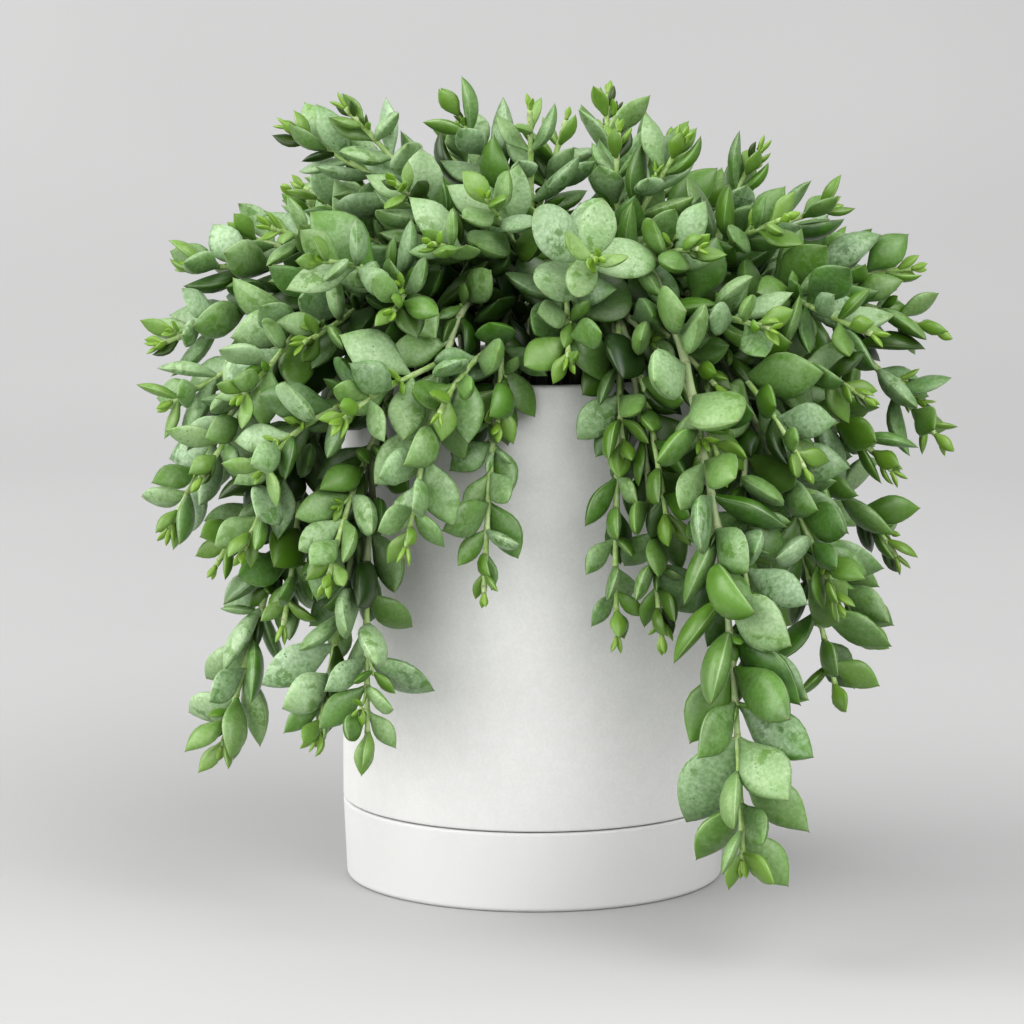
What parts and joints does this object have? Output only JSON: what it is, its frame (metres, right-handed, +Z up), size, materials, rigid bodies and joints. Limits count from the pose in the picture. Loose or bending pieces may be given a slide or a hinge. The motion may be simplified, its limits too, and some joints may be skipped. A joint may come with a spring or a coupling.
{
  "type": "potted cotyledon",
  "caption": "Trailing succulent with plump opposite leaves, hanging over a matte white cylinder pot that stands in a flush matching saucer.",
  "frame": {"origin": "middle of the saucer's underside, where it rests on the table", "axes": "+Z up, -Y towards the front of the plant, where the pot's rim shows between the hanging stems"},
  "size_m": [0.3166, 0.3187, 0.3128],
  "materials": {
    "ceramic": "matte",
    "soil": "matte",
    "foliage": "satin"
  },
  "bodies": {
    "root": {"saucer": "ceramic", "pot": "ceramic", "soil": "soil", "stem_crown_left": "foliage", "stem_left_high": "foliage", "stem_left": "foliage", "stem_left_tail": "foliage", "stem_front_left_tail": "foliage", "stem_front_left": "foliage", "stem_front_left_high": "foliage", "stem_front": "foliage", "stem_rosette": "foliage", "stem_long_tail": "foliage", "stem_front_right": "foliage", "stem_right_front": "foliage", "stem_right_tail": "foliage", "stem_right": "foliage", "stem_right_high": "foliage", "stem_crown_right": "foliage", "stem_crown": "foliage", "stem_back_1": "foliage", "stem_back_2": "foliage", "stem_back_3": "foliage", "stem_back_4": "foliage", "stem_back_5": "foliage", "stem_back_6": "foliage", "stem_back_7": "foliage", "stem_back_8": "foliage", "stem_back_9": "foliage"}
  },
  "joints": []
}
